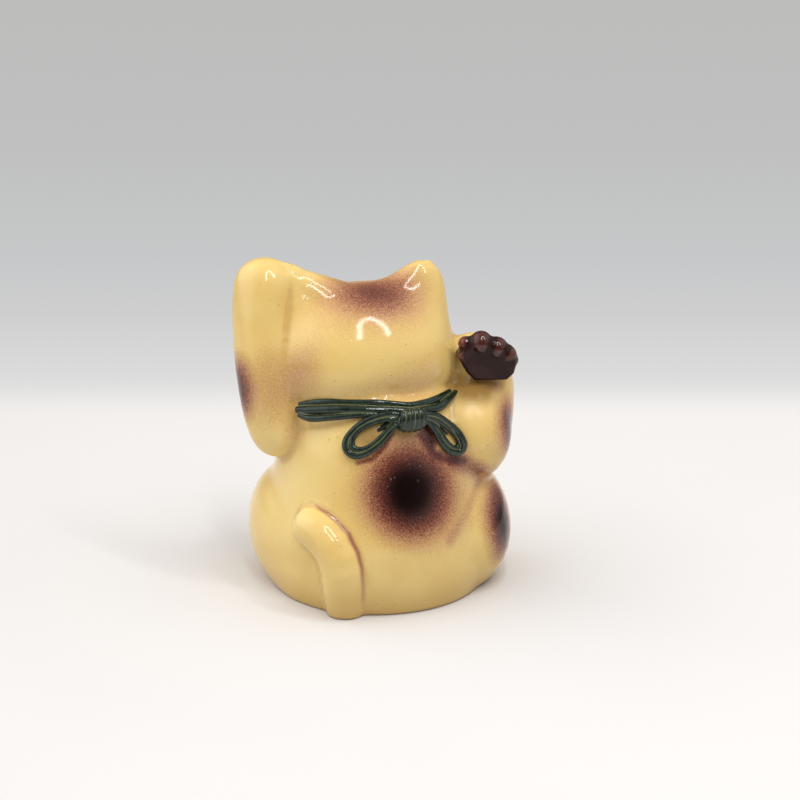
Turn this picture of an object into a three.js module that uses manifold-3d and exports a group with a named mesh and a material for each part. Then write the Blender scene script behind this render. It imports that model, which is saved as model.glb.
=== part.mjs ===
// Lucky cat figurine: a seated cat in glazed earthenware, one paw raised beside its ear, the other
// holding a small charm, with a cord collar tied in a bow behind and a bell in front.
// Millimetres, +Z up. The cat faces -Y, so its own left, where the raised paw is, lies at +X.
// Each piece is formed by itself and luted on with slip before the glaze is fired.
import * as THREE from 'three';
import { mergeVertices } from 'three/addons/utils/BufferGeometryUtils.js';
import { ParametricGeometry } from 'three/addons/geometries/ParametricGeometry.js';
import Module from 'manifold-3d';

// The joint of slip between two pieces that meet
const LUTE = 0.3;

// Neck joint: a sloping plane under the collar, higher behind, with a round key on the body
const NECK_LEVEL = 40;
const NECK_SLOPE = 10;
const KEY_WIDTH = 14;
const KEY_HEIGHT = 3;

// Body: fat belly, sloping shoulders, two haunches and two hind feet, hollowed from below
const BELLY_WIDTH = 50;
const BELLY_DEPTH = 49;
const BELLY_HEIGHT = 52;
const BELLY_LEVEL = 10;
const BELLY_BACK = 1;
const SHOULDER_WIDTH = 40;
const SHOULDER_DEPTH = 36;
const SHOULDER_HEIGHT = 32;
const SHOULDER_DROP = 7;
const TORSO_FILLET = 12;
const HAUNCH_WIDTH = 22;
const HAUNCH_LENGTH = 35;
const HAUNCH_HEIGHT = 29.5;
const HAUNCH_LEVEL = 11.5;
const HAUNCH_FILLET = 1.4;
const LEFT_HAUNCH_SPREAD = 16.6;
const LEFT_HAUNCH_FORWARD = 4;
const RIGHT_HAUNCH_SPREAD = 18.2;
const RIGHT_HAUNCH_FORWARD = -1.5;
const FOOT_WIDTH = 12.5;
const FOOT_LENGTH = 16;
const FOOT_HEIGHT = 11;
const FOOT_SPREAD = 10;
const FOOT_FORWARD = 19.5;
const FOOT_SUNK = 0.5;
const FOOT_FILLET = 2.5;
const HOLLOW_WIDTH = 34;
const HOLLOW_HEIGHT = 31;

// Head: round skull, full cheeks, short muzzle and two ears set at its corners
const SKULL_WIDTH = 40;
const SKULL_DEPTH = 34;
const SKULL_HEIGHT = 29;
const SKULL_RISE = 10.5;
const HEAD_FORWARD = 4.5;
const HEAD_ASIDE = 2.6;
const CHEEK_WIDTH = 40.4;
const CHEEK_DEPTH = 31;
const CHEEK_HEIGHT = 20;
const CHEEK_DROP = 4.5;
const CHEEK_FILLET = 6;
const MUZZLE_WIDTH = 15;
const MUZZLE_DEPTH = 9;
const MUZZLE_HEIGHT = 10;
const MUZZLE_DROP = 5.5;
const MUZZLE_SUNK = 2;
const EAR_WIDTH = 12.6;
const EAR_THICKNESS = 8;
const LEFT_EAR_HEIGHT = 21.6;
const RIGHT_EAR_HEIGHT = 19;
const EAR_RISE = 10;
const LEFT_EAR_SPREAD = 14.4;
const RIGHT_EAR_SPREAD = 12.6;
const EAR_SPLAY = 13;
const FACE_FILLET = 6;

// Raised arm, from the shoulder up past the ear
const RAISED_ARM_WIDTH = 12.5;
const RAISED_ARM_LENGTH = 39.8;
const RAISED_ARM_OUT = 2.3;
const RAISED_ELBOW_DROP = 9;
const RAISED_ELBOW_BACK = 3.5;
const RAISED_ELBOW_TUCK = 5;
const RAISED_PAW_FORWARD = 8;
const RAISED_PAW_TUCK = 2.6;
const RAISED_PAW_SWELL = 0.5;

// Holding arm: upper arm down to the elbow, forearm up to the paw, whose toes curl in to the head
const UPPER_ARM_WIDTH = 19;
const UPPER_ARM_LENGTH = 21;
const UPPER_ARM_DROP = 7.2;
const UPPER_ARM_OUT = -2.6;
const UPPER_ARM_BACK = 6.5;
const FOREARM_WIDTH = 14.5;
const FOREARM_LENGTH = 28;
const FOREARM_DROP = 1;
const FOREARM_OUT = 2.4;
const ELBOW_FILLET = 4;
const HOLDING_PAW_WIDTH = 8.6;
const HOLDING_PAW_ASIDE = 3.2;
const HOLDING_PAW_RISE = 9.6;
const HOLDING_PAW_FORWARD = 1;

// Tail: a thick roll that comes round the back, turns down and stands on the floor
const TAIL_WIDTH = 8.7;
const TAIL_TOP_LEVEL = 19.2;
const TAIL_TURN_LEVEL = 10.5;
const TAIL_TOP_ANGLE = 57;
const TAIL_FOOT_ANGLE = 30;
const TAIL_PROUD = 0;
const TAIL_FOOT_SUNK = 3.4;

// Collar: three strands of cord side by side, and a bow tied behind, to the cat's right, where the
// lowest strand ends under a loop
const STRAND_WIDTH = 1.3;
const STRAND_PITCH = 1.6;
const COLLAR_LEFT_END = 86;
const COLLAR_RIGHT_END = 88;
const COLLAR_RIGHT_LOWER_END = 54;
const FRONT_COLLAR_END = 112;
const BOW_ANGLE = 8;
const BOW_DROP = 2.2;
const KNOT_LENGTH = 6.2;
const KNOT_HEIGHT = 5.4;
const KNOT_DEPTH = 4;
const KNOT_WRAPS = 5;
const KNOT_GROOVE = 0.45;
const LEFT_LOOP_LENGTH = 13.3;
const LEFT_LOOP_WIDTH = 7;
const LEFT_LOOP_DROOP = 29;
const RIGHT_LOOP_LENGTH = 12.5;
const RIGHT_LOOP_WIDTH = 5.6;
const RIGHT_LOOP_DROOP = 40;

// Bell on the chest
const BELL_WIDTH = 6.4;
const BELL_BAND = 0.9;
const BELL_SLOT = 0.9;

// Charm: a flat-backed nugget with knobs round its upper edge, held against the forearm
const CHARM_WIDTH = 12.4;
const CHARM_HEIGHT = 9;
const CHARM_THICKNESS = 4.6;
const CHARM_EDGE = 0.6;
const CHARM_RISE = 10.7;
const CHARM_ASIDE = 1.3;
const CHARM_TURN = -10;
const CHARM_SEAT = 1.4;
const CHARM_KNOB = 4.2;

const wasm = await Module();
wasm.setup();

const at = (x, y, z) => new THREE.Vector3(x, y, z);
const degrees = THREE.MathUtils.degToRad;

// Closed geometry to solid and back; a triangle that closed up to a line at a pole is left out
function solid(geometry) {
  const bare = geometry.clone();
  bare.deleteAttribute('normal');
  bare.deleteAttribute('uv');
  const merged = mergeVertices(bare, 1e-4);
  const corners = merged.getIndex().array;
  const triangles = [];
  for (let i = 0; i < corners.length; i += 3) {
    const [a, b, c] = corners.slice(i, i + 3);
    if (a !== b && b !== c && c !== a) triangles.push(a, b, c);
  }
  return new wasm.Manifold(new wasm.Mesh({
    numProp: 3,
    vertProperties: new Float32Array(merged.getAttribute('position').array),
    triVerts: new Uint32Array(triangles),
  }));
}

function geometryOf(piece) {
  const { vertProperties, triVerts } = piece.getMesh();
  const geometry = new THREE.BufferGeometry();
  geometry.setAttribute('position', new THREE.BufferAttribute(vertProperties, 3));
  geometry.setIndex(new THREE.BufferAttribute(triVerts, 1));
  geometry.computeVertexNormals();
  return geometry;
}

// Near enough the distance from a point to an ellipsoid of three full sizes, less than 0 inside
function ellipsoid(centre, sizes, splay = 0) {
  const [rx, ry, rz] = sizes.map((size) => size / 2);
  const upright = new THREE.Quaternion().setFromAxisAngle(at(0, 1, 0), -splay);
  return (point) => {
    const q = point.clone().sub(centre).applyQuaternion(upright);
    const k0 = Math.hypot(q.x / rx, q.y / ry, q.z / rz);
    const k1 = Math.hypot(q.x / rx ** 2, q.y / ry ** 2, q.z / rz ** 2);
    return k1 > 0 ? k0 * (k0 - 1) / k1 : -Math.min(rx, ry, rz);
  };
}

// Forms run together with a soft fillet
function blend(fillet, ...forms) {
  return (point) => forms.map((form) => form(point)).reduce((a, b) => {
    const near = Math.max(fillet - Math.abs(a - b), 0) / fillet;
    return Math.min(a, b) - near * near * fillet / 4;
  });
}

// How far from a point inside a form its skin lies along a ray, with the skin raised by a lift
const FAR = 80;
function reach(form, from, ray, lift = 0) {
  let inside = 0;
  let outside = FAR;
  while (outside - inside > 1e-4) {
    const middle = (inside + outside) / 2;
    const point = from.clone().addScaledVector(ray, middle);
    if (form(point) > lift) outside = middle;
    else inside = middle;
  }
  return inside;
}

// A round form as a solid: a ball whose every corner is pushed out to the form's skin
function lump(form, centre, detail, lift = 0) {
  const ball = new THREE.IcosahedronGeometry(1, detail);
  const position = ball.getAttribute('position');
  for (let i = 0; i < position.count; i++) {
    const ray = new THREE.Vector3().fromBufferAttribute(position, i).normalize();
    const skin = centre.clone().addScaledVector(ray, reach(form, centre, ray, lift));
    position.setXYZ(i, ...skin);
  }
  return solid(ball);
}

// A limb of round section along a smooth spine, with a round end at each tip
function limb(points, width, around, along, grow = 0, relief = () => 0) {
  const spine = new THREE.CatmullRomCurve3(points);
  const length = spine.getLength() + 2 * grow;
  const radius = width / 2 + grow;
  const skin = (u, v, target) => {
    const run = (1 - Math.cos(Math.PI * v)) / 2;
    const tip = Math.min(run, 1 - run) * length;
    const round = tip < radius ? Math.sqrt(1 - (1 - tip / radius) ** 2) : 1;
    const tangent = spine.getTangentAt(run);
    const side = at(0, 1, 0).cross(tangent).normalize();
    const front = tangent.clone().cross(side);
    const across = side.multiplyScalar(Math.cos(2 * Math.PI * u));
    across.addScaledVector(front, Math.sin(2 * Math.PI * u));
    target.copy(spine.getPointAt(run)).addScaledVector(tangent, grow * (2 * run - 1));
    target.addScaledVector(across, round * (radius + relief(run, u)));
  };
  return solid(new ParametricGeometry(skin, around, along));
}

// A strand of cord through a row of points
function cord(points, steps) {
  const section = new THREE.Shape();
  section.absarc(0, 0, STRAND_WIDTH / 2, 0, 2 * Math.PI);
  const extrudePath = new THREE.CatmullRomCurve3(points);
  return solid(new THREE.ExtrudeGeometry(section, { extrudePath, steps, curveSegments: 4 }));
}

// Body form
const belly = ellipsoid(at(0, BELLY_BACK, BELLY_LEVEL), [BELLY_WIDTH, BELLY_DEPTH, BELLY_HEIGHT]);
const shoulders = ellipsoid(
  at(0, 0, NECK_LEVEL - SHOULDER_DROP),
  [SHOULDER_WIDTH, SHOULDER_DEPTH, SHOULDER_HEIGHT],
);
const torso = blend(TORSO_FILLET, belly, shoulders);
const haunches = [
  at(LEFT_HAUNCH_SPREAD, -LEFT_HAUNCH_FORWARD, HAUNCH_LEVEL),
  at(-RIGHT_HAUNCH_SPREAD, -RIGHT_HAUNCH_FORWARD, HAUNCH_LEVEL),
].map((centre) => ellipsoid(centre, [HAUNCH_WIDTH, HAUNCH_LENGTH, HAUNCH_HEIGHT]));
const feet = [-1, 1].map((side) => ellipsoid(
  at(side * FOOT_SPREAD, -FOOT_FORWARD, FOOT_HEIGHT / 2 - FOOT_SUNK),
  [FOOT_WIDTH, FOOT_LENGTH, FOOT_HEIGHT],
));
const bodyForm = blend(FOOT_FILLET, blend(HAUNCH_FILLET, torso, ...haunches), ...feet);
const bodyCentre = at(0, BELLY_BACK, BELLY_LEVEL);

// Head form
const headCentre = at(HEAD_ASIDE, -HEAD_FORWARD, NECK_LEVEL + SKULL_RISE);
const inHead = (x, y, z) => at(x, y, z).add(headCentre);
const skull = ellipsoid(headCentre, [SKULL_WIDTH, SKULL_DEPTH, SKULL_HEIGHT]);
const cheeks = ellipsoid(inHead(0, 0, -CHEEK_DROP), [CHEEK_WIDTH, CHEEK_DEPTH, CHEEK_HEIGHT]);
const muzzle = ellipsoid(
  inHead(0, MUZZLE_SUNK - SKULL_DEPTH / 2, -MUZZLE_DROP),
  [MUZZLE_WIDTH, MUZZLE_DEPTH, MUZZLE_HEIGHT],
);
const ears = [
  [1, LEFT_EAR_SPREAD, LEFT_EAR_HEIGHT],
  [-1, RIGHT_EAR_SPREAD, RIGHT_EAR_HEIGHT],
].map(([side, spread, height]) => ellipsoid(
  inHead(side * spread, 0, EAR_RISE),
  [EAR_WIDTH, EAR_THICKNESS, height],
  side * degrees(EAR_SPLAY),
));
const headForm = blend(FACE_FILLET, blend(CHEEK_FILLET, skull, cheeks), muzzle, ...ears);

// The neck's own frame has z = 0 on the joint plane
const neck = new THREE.Matrix4().makeRotationX(degrees(NECK_SLOPE)).setPosition(0, 0, NECK_LEVEL);
const BLOCK = 3 * FAR;
function below(level, frame = new THREE.Matrix4()) {
  const block = new THREE.BoxGeometry(BLOCK, BLOCK, BLOCK);
  block.translate(0, 0, level - BLOCK / 2);
  return solid(block.applyMatrix4(frame));
}
function neckKey(width, height) {
  const round = new THREE.CylinderGeometry(width / 2, width / 2, height + KEY_HEIGHT, 32);
  round.rotateX(Math.PI / 2);
  round.translate(0, 0, (height - KEY_HEIGHT) / 2);
  return solid(round.applyMatrix4(neck));
}
function hollow() {
  const skirt = -HOLLOW_HEIGHT / 10;
  const profile = [new THREE.Vector2(0, skirt), new THREE.Vector2(HOLLOW_WIDTH / 2, skirt)];
  const arch = new THREE.EllipseCurve(0, 0, HOLLOW_WIDTH / 2, HOLLOW_HEIGHT, 0, Math.PI / 2);
  const dome = arch.getPoints(10);
  dome[dome.length - 1].x = 0;
  const round = new THREE.LatheGeometry([...profile, ...dome], 28);
  return solid(round.rotateX(Math.PI / 2));
}

// Body and head, parted at the neck; what is luted to them is cut back by their grown copies
const floor = below(0);
const underNeck = below(0, neck);
const underHead = below(LUTE, neck);
const body = lump(bodyForm, bodyCentre, 10)
  .intersect(underNeck)
  .add(neckKey(KEY_WIDTH, KEY_HEIGHT))
  .subtract(floor)
  .subtract(hollow());
const head = lump(headForm, headCentre, 10)
  .subtract(underHead)
  .subtract(neckKey(KEY_WIDTH + 2 * LUTE, KEY_HEIGHT + LUTE));
const clearOfBody = lump(bodyForm, bodyCentre, 10, LUTE).intersect(underHead);
const clearOfHead = lump(headForm, headCentre, 10, LUTE).subtract(underNeck);
const seated = (piece) => piece.subtract(clearOfBody).subtract(clearOfHead);

// Raised arm, set out from the shoulder's skin
const raisedElbow = NECK_LEVEL - RAISED_ELBOW_DROP;
const raisedReach = reach(torso, at(0, 0, raisedElbow), at(1, 0, 0)) + RAISED_ARM_OUT;
const alongRaised = (share) => raisedElbow + share * RAISED_ARM_LENGTH;
const raisedSpine = [
  at(raisedReach - RAISED_ELBOW_TUCK, RAISED_ELBOW_BACK, alongRaised(0)),
  at(raisedReach - RAISED_ELBOW_TUCK / 3, RAISED_ELBOW_BACK * 0.6, alongRaised(0.15)),
  at(raisedReach, 0, alongRaised(0.4)),
  at(raisedReach, -RAISED_PAW_FORWARD * 0.45, alongRaised(0.7)),
  at(raisedReach - RAISED_PAW_TUCK, -RAISED_PAW_FORWARD, alongRaised(1)),
];
const pawSwell = (run) => RAISED_PAW_SWELL * THREE.MathUtils.smoothstep(run, 0.6, 0.85);
const raisedSolid = (grow) => limb(raisedSpine, RAISED_ARM_WIDTH, 18, 24, grow, pawSwell);
const raisedArm = seated(raisedSolid(0));

// Holding arm, set out from the other shoulder
const upperLevel = NECK_LEVEL - UPPER_ARM_DROP;
const shoulderReach = reach(torso, at(0, 0, upperLevel), at(-1, 0, 0));
const upperArm = ellipsoid(
  at(-shoulderReach - UPPER_ARM_OUT, UPPER_ARM_BACK, upperLevel),
  [UPPER_ARM_WIDTH, UPPER_ARM_WIDTH, UPPER_ARM_LENGTH],
);
const forearmCentre = at(-shoulderReach - FOREARM_OUT, 0, NECK_LEVEL - FOREARM_DROP);
const forearm = ellipsoid(forearmCentre, [FOREARM_WIDTH, FOREARM_WIDTH, FOREARM_LENGTH]);
const holdingPaw = ellipsoid(
  at(HOLDING_PAW_ASIDE, -HOLDING_PAW_FORWARD, HOLDING_PAW_RISE).add(forearmCentre),
  [HOLDING_PAW_WIDTH, HOLDING_PAW_WIDTH, HOLDING_PAW_WIDTH],
);
const holdingForm = blend(ELBOW_FILLET, upperArm, forearm, holdingPaw);
const holdingSolid = (lift) => lump(holdingForm, forearmCentre, 7, lift);
const holdingArm = seated(holdingSolid(0));
const clearOfHoldingArm = holdingSolid(LUTE);
const clearOfArms = raisedSolid(LUTE).add(clearOfHoldingArm);

// Tail, laid along the skin of the back: a quarter turn from its tip, then straight down
function tailPoint(angle, level, proud) {
  const from = at(0, 0, Math.max(level, 0));
  const ray = at(Math.sin(angle), Math.cos(angle), 0);
  const out = reach(bodyForm, from, ray) + proud;
  return ray.multiplyScalar(out).setZ(level);
}
const tailFoot = degrees(TAIL_FOOT_ANGLE);
const tailSpine = [0, 1, 2, 3].map((step) => {
  const turn = step * Math.PI / 6;
  const angle = THREE.MathUtils.lerp(degrees(TAIL_TOP_ANGLE), tailFoot, Math.sin(turn));
  const level = THREE.MathUtils.lerp(TAIL_TURN_LEVEL, TAIL_TOP_LEVEL, Math.cos(turn));
  return tailPoint(angle, level, TAIL_PROUD);
});
tailSpine.push(tailPoint(tailFoot, TAIL_TURN_LEVEL / 2, -TAIL_FOOT_SUNK / 4));
tailSpine.push(tailPoint(tailFoot, -TAIL_WIDTH / 2, -TAIL_FOOT_SUNK));
const tail = seated(limb(tailSpine, TAIL_WIDTH, 16, 18)).subtract(floor);

// Points on the collar's line: an angle from straight behind, a rise and a lift off the skin
const figureForm = (point) => Math.min(bodyForm(point), headForm(point));
function collarPoint(angle, rise, lift, form = figureForm) {
  const from = at(0, 0, rise).applyMatrix4(neck);
  const ray = at(Math.sin(angle), Math.cos(angle), 0).transformDirection(neck);
  return from.clone().addScaledVector(ray, reach(form, from, ray, lift));
}
const collarWidth = 2 * STRAND_PITCH + STRAND_WIDTH;
const strandSeat = LUTE + STRAND_WIDTH / 2;
function strand(from, to, rise, steps) {
  const points = [];
  for (let i = 0; i <= steps; i++) {
    points.push(collarPoint(THREE.MathUtils.lerp(from, to, i / steps), rise, strandSeat));
  }
  return cord(points, 2 * steps).subtract(clearOfArms);
}

// Bow: a wound knot, and a loop of two strands on either side of it
const bowAngle = -degrees(BOW_ANGLE);
const knotCentre = collarPoint(bowAngle, -BOW_DROP, LUTE + KNOT_DEPTH / 2);
const knotWraps = (run, u) => {
  const wave = Math.abs(Math.sin(Math.PI * (KNOT_WRAPS * run - u)));
  return -KNOT_GROOVE * wave ** 4;
};
function knotSolid(grow) {
  const half = KNOT_LENGTH / 2;
  const barrel = limb([at(-half, 0, 0), at(half, 0, 0)], KNOT_HEIGHT, 14, 18, grow, knotWraps);
  const flat = (KNOT_DEPTH + 2 * grow) / (KNOT_HEIGHT + 2 * grow);
  const seat = new THREE.Matrix4().makeRotationZ(-bowAngle).setPosition(knotCentre);
  return solid(geometryOf(barrel).scale(1, flat, 1).applyMatrix4(seat));
}
const knot = seated(knotSolid(0));
const clearOfKnot = knotSolid(LUTE);
const backRadius = knotCentre.clone().setZ(0).length();
// Under the knot the strands stop short; the upper ones all but meet above it
const underKnot = (row) => (row === 2 ? LUTE / 2 : KNOT_LENGTH / 4) / backRadius;

// A loop swells from its root in the knot and droops; over the collar it rides on the strands,
// and where the holding arm bulges it rides on the arm
const overCollar = LUTE + STRAND_WIDTH + strandSeat;
const armedForm = blend(ELBOW_FILLET, figureForm, holdingForm);
const WIDEST = 0.77;
function loop(side, length, width, droop, inset) {
  const steps = 12;
  const slope = degrees(droop);
  const root = 1.25 * STRAND_PITCH - inset;
  const bulge = width / 2 - inset - 0.6 * root;
  const points = [];
  for (let i = 0; i <= steps; i++) {
    const turn = Math.PI * i / steps;
    const along = (length - inset) * (1 - Math.cos(2 * turn)) / 2;
    const out = root * Math.cos(turn) + bulge * Math.sin(2 * turn) * Math.sin(turn) / WIDEST;
    const aside = KNOT_LENGTH / 4 + along * Math.cos(slope) + out * Math.sin(slope);
    const drop = BOW_DROP + along * Math.sin(slope) - out * Math.cos(slope);
    const off = THREE.MathUtils.smoothstep(drop, collarWidth / 2, collarWidth);
    const lift = THREE.MathUtils.lerp(overCollar, strandSeat, off);
    points.push(collarPoint(bowAngle + side * aside / backRadius, -drop, lift, armedForm));
  }
  return cord(points, 2 * steps).subtract(clearOfKnot);
}

// Bell: a ball with a band about its middle and a slot below, seated on the chest
function bellSolid() {
  const ball = new THREE.SphereGeometry(BELL_WIDTH / 2, 18, 12);
  const band = new THREE.TorusGeometry(BELL_WIDTH / 2, BELL_BAND / 2, 6, 20);
  const slot = new THREE.BoxGeometry(BELL_SLOT, BELL_WIDTH, BELL_WIDTH / 2);
  slot.translate(0, -BELL_WIDTH / 4, -BELL_WIDTH / 2);
  const rise = -(collarWidth / 2 + LUTE + BELL_WIDTH / 2);
  const centre = collarPoint(Math.PI, rise, BELL_WIDTH / 4);
  const whole = solid(ball).add(solid(band)).subtract(solid(slot));
  return solid(geometryOf(whole).translate(...centre));
}

// Charm: a bevelled slab with its flat side outward, and knobs from one side over the top; places
// are in half widths and half heights of the slab, and the last number is a knob's share of size
const charmOutline = [
  [-0.7, -1], [0.4, -1], [0.66, -0.61], [1, 0.15], [0.76, 0.54], [0.52, 0.78], [0.24, 0.66],
  [-0.1, 0.5], [-0.46, 0.32], [-0.9, 0.24], [-1, -0.24], [-0.92, -0.7],
];
const charmKnobs = [
  [0.72, 0.7, 0.66], [0.18, 0.8, 1], [-0.36, 0.54, 0.92], [-0.7, 0.22, 0.8], [-0.88, -0.14, 0.62],
];
function charmSolid() {
  const place = ([x, z]) => new THREE.Vector2(x * CHARM_WIDTH / 2, z * CHARM_HEIGHT / 2);
  const outline = new THREE.Shape(charmOutline.map(place));
  const slab = new THREE.ExtrudeGeometry(outline, {
    depth: CHARM_THICKNESS - 2 * CHARM_EDGE,
    bevelSize: CHARM_EDGE,
    bevelThickness: CHARM_EDGE,
    bevelOffset: -CHARM_EDGE,
    bevelSegments: 2,
  });
  slab.translate(0, 0, CHARM_EDGE).rotateX(Math.PI / 2);
  let nugget = solid(slab);
  for (const [x, z, share] of charmKnobs) {
    const knob = new THREE.SphereGeometry(share * CHARM_KNOB / 2, 12, 8);
    const spot = place([x, z]);
    nugget = nugget.add(solid(knob.translate(spot.x, -0.4 * CHARM_KNOB, spot.y)));
  }
  const spot = forearmCentre.clone().add(at(CHARM_ASIDE, 0, CHARM_RISE));
  const back = reach(holdingForm, spot, at(0, 1, 0)) + CHARM_THICKNESS - CHARM_SEAT;
  const seat = new THREE.Matrix4().makeRotationZ(degrees(CHARM_TURN));
  seat.setPosition(spot.x, spot.y + back, spot.z);
  return solid(geometryOf(nugget).applyMatrix4(seat));
}
const charm = charmSolid().subtract(clearOfHoldingArm).subtract(clearOfHead);

// Finishes
function glaze(color, roughness) {
  return new THREE.MeshStandardMaterial({ color, roughness, metalness: 0 });
}
const cream = () => glaze(0xe9cd8c, 0.15);
const green = () => glaze(0x333f34, 0.25);
const brown = () => glaze(0x3a2019, 0.15);
const ochre = () => glaze(0xc99a3a, 0.3);

// Assembly
const figure = new THREE.Group();
function add(name, piece, material) {
  const mesh = new THREE.Mesh(geometryOf(piece), material);
  mesh.name = name;
  figure.add(mesh);
}
add('body_shell', body, cream());
add('head', head, cream());
add('raised_arm', raisedArm, cream());
add('holding_arm', holdingArm, cream());
add('tail', tail, cream());
add('held_charm', charm, brown());
['lower', 'middle', 'upper'].forEach((name, row) => {
  const rise = (row - 1) * STRAND_PITCH;
  const rightEnd = degrees(row === 0 ? COLLAR_RIGHT_LOWER_END : COLLAR_RIGHT_END);
  const left = strand(bowAngle + underKnot(row), degrees(COLLAR_LEFT_END), rise, 8);
  const right = strand(bowAngle - underKnot(row), -rightEnd, rise, 8);
  const front = strand(degrees(FRONT_COLLAR_END), degrees(360 - FRONT_COLLAR_END), rise, 10);
  add(`collar_left_${name}`, left.subtract(clearOfKnot), green());
  add(`collar_right_${name}`, right.subtract(clearOfKnot), green());
  add(`collar_front_${name}`, front, green());
});
add('bow_knot', knot, green());
['outer', 'inner'].forEach((name, row) => {
  const inset = row * STRAND_PITCH;
  const left = loop(1, LEFT_LOOP_LENGTH, LEFT_LOOP_WIDTH, LEFT_LOOP_DROOP, inset);
  const right = loop(-1, RIGHT_LOOP_LENGTH, RIGHT_LOOP_WIDTH, RIGHT_LOOP_DROOP, inset);
  add(`bow_left_loop_${name}`, left, green());
  add(`bow_right_loop_${name}`, right, green());
});
add('bell', seated(bellSolid()), ochre());

// The middle of the figure's box stands over the origin, and its foot rim on z = 0
const middle = new THREE.Box3().setFromObject(figure).getCenter(at(0, 0, 0));
figure.position.set(-middle.x, -middle.y, 0);
const cat = new THREE.Group();
cat.name = 'lucky_cat';
cat.add(figure);
cat.updateMatrixWorld(true);

export default cat;
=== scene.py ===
# %% [markdown]
# # Lucky cat figurine
# A seated cat of glazed earthenware, no taller than a thumb is long, seen from behind: one paw is up
# beside its ear, the other holds a charm, and a green cord is tied in a bow at its back.
# The CAD model fixes where every piece is. Here each piece gets the form that clay and glaze give it,
# and its colours. Everything is in metres, so a millimetre gets a name of its own.

# %% Load the fixed frame
import math
from functools import cached_property

import bpy
import numpy as np
from mathutils import Matrix, Vector
from mathutils.bvhtree import BVHTree

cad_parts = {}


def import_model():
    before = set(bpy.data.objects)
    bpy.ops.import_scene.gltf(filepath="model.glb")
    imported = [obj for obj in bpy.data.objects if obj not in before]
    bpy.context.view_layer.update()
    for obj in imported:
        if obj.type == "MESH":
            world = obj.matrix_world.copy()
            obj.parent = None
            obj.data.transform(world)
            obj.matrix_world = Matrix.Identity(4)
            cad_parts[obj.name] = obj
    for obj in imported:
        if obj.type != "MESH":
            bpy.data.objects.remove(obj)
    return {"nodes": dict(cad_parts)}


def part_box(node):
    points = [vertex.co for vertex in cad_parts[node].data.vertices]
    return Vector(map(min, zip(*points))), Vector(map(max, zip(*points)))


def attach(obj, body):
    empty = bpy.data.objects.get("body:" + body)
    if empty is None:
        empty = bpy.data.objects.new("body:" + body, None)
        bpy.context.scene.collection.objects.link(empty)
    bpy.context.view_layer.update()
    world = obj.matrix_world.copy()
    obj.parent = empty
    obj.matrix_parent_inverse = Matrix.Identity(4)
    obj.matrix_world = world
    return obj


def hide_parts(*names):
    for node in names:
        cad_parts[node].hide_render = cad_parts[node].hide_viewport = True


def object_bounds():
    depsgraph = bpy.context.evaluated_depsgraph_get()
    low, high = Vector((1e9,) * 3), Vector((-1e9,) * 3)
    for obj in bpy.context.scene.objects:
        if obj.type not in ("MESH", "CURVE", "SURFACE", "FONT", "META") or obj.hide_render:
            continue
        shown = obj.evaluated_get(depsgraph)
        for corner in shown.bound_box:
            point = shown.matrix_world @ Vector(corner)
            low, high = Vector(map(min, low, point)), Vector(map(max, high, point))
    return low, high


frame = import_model()
cad_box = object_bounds()
bpy.ops.object.select_all(action="DESELECT")
scene = bpy.context.scene
scene.view_settings.view_transform = "Standard"
MM = 0.001
cad_size = [round(x / MM, 1) for x in cad_box[1] - cad_box[0]]
print("CAD nodes:", len(frame["nodes"]), "box in mm:", cad_size)

# %% [markdown]
# ## The camera
# A camera can be placed by hand until the picture looks right. Here it is worked out instead: the
# direction, the distance and the scale at the figure's foot say where it stands, and the foot's place
# in a picture of 800 by 800 says where it aims.

# %% Place the camera
AZIMUTH = math.radians(166)
ELEVATION = math.radians(17)
DISTANCE = 385 * MM
PIXELS_PER_METRE = 4500
PICTURE = 800
FOOT_PIXEL = (377, 572)
foot_axis = Vector((0.22, 0.41, 0)) * MM


def direction(azimuth, elevation):
    """A unit vector from the figure: azimuth 0 is in front of its face, 180 degrees is behind it."""
    return Vector((
        math.sin(azimuth) * math.cos(elevation),
        -math.cos(azimuth) * math.cos(elevation),
        math.sin(elevation),
    ))


back = direction(AZIMUTH, ELEVATION)
turn = (-back).to_track_quat("-Z", "Y")
off_centre = Vector((PICTURE / 2 - FOOT_PIXEL[0], FOOT_PIXEL[1] - PICTURE / 2, 0)) / PIXELS_PER_METRE
aim = foot_axis + turn @ off_centre
bpy.ops.object.camera_add(location=aim + back * DISTANCE, rotation=turn.to_euler())
camera = bpy.context.object
camera.data.lens = PIXELS_PER_METRE * DISTANCE * camera.data.sensor_width / PICTURE
camera.data.clip_start = 10 * MM
scene.camera = camera
print("Lens:", round(camera.data.lens, 1), "mm, camera at", [round(x / MM) for x in camera.location])

# %% [markdown]
# ## Working by hand, in code
# Blender's operators act on whatever is selected, so the first helper selects exactly what is meant.
# The second adds a modifier and applies it at once, as the Apply button does. The third takes a copy
# of a CAD node to work on: the node is loose triangles, so its doubled corners are merged. The others
# add a simple form and join pieces.

# %% Small helpers
MERGE_WITHIN = 0.001 * MM


def only(*pieces):
    """Selects these pieces and nothing else; the last one is the active one."""
    bpy.ops.object.select_all(action="DESELECT")
    for piece in pieces:
        piece.select_set(True)
    bpy.context.view_layer.objects.active = pieces[-1]


def worked(piece, kind, **settings):
    """Adds a modifier with these settings and applies it."""
    only(piece)
    modifier = piece.modifiers.new(kind.lower(), kind)
    for name, value in settings.items():
        setattr(modifier, name, value)
    bpy.ops.object.modifier_apply(modifier=modifier.name)
    return piece


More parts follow.
